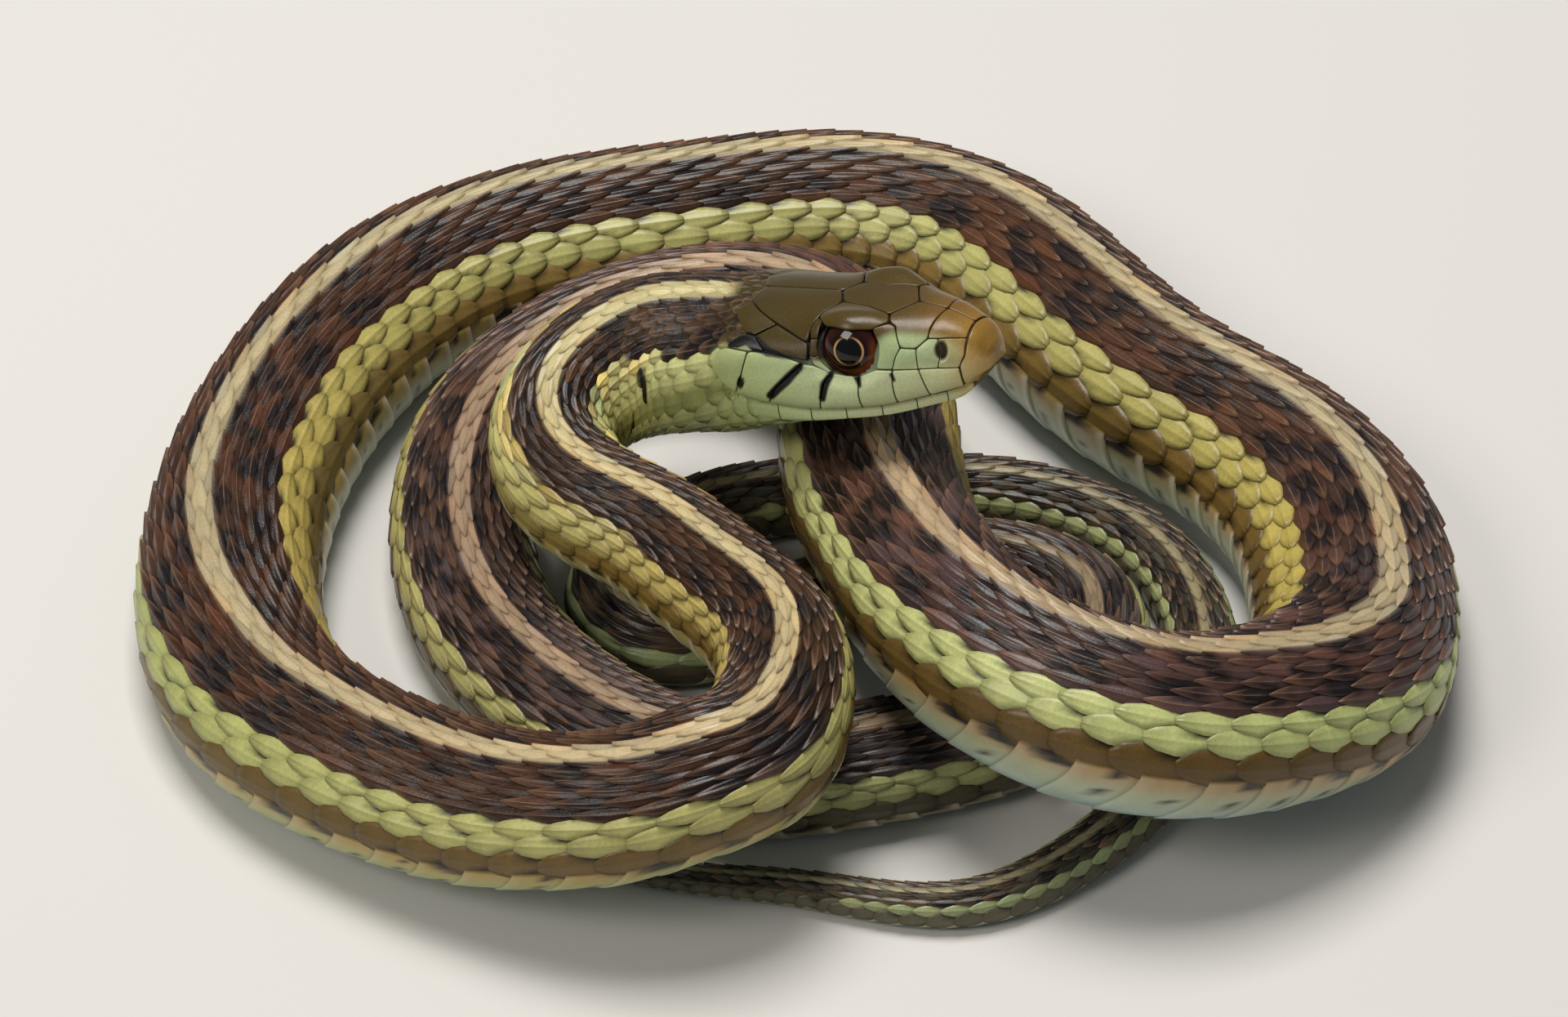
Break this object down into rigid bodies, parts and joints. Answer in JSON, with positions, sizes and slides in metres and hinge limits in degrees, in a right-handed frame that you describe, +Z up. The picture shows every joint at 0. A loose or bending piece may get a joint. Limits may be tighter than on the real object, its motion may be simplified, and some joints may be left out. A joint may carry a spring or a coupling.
{
  "type": "garter snake",
  "caption": "Life-size garter snake resting in flat overlapping coils, its head held over its own back and its tail laid in front.",
  "frame": {"origin": "floor level under the middle of the coils' outline", "axes": "+X to the right in the picture, roughly the way the snout points, and the coils' longest extent; +Y away from the viewer of the picture; +Z up from the floor"},
  "size_m": [0.0905, 0.0825, 0.025],
  "materials": {
    "head_skin": "olive-brown scaled skin, satin",
    "jaw_skin": "pale yellow-green scaled skin, satin",
    "eye": "dark red-brown, wet gloss",
    "body_skin": "striped brown keeled scales, satin",
    "tail_skin": "striped grey-olive keeled scales, satin"
  },
  "bodies": {
    "root": {"head": "head_skin", "lower_jaw": "jaw_skin", "eye_right": "eye", "eye_left": "eye", "neck_1": "body_skin", "neck_2": "body_skin", "trunk_1": "body_skin", "trunk_2": "body_skin", "trunk_3": "body_skin", "trunk_4": "body_skin", "trunk_5": "body_skin", "trunk_6": "body_skin", "trunk_7": "body_skin", "trunk_8": "body_skin", "trunk_9": "body_skin", "trunk_10": "body_skin", "trunk_11": "body_skin", "trunk_12": "body_skin", "trunk_13": "body_skin", "trunk_14": "body_skin", "trunk_15": "body_skin", "trunk_16": "body_skin", "trunk_17": "body_skin", "tail_1": "tail_skin", "tail_2": "tail_skin", "tail_3": "tail_skin", "tail_4": "tail_skin", "tail_5": "tail_skin", "tail_6": "tail_skin"}
  },
  "joints": []
}
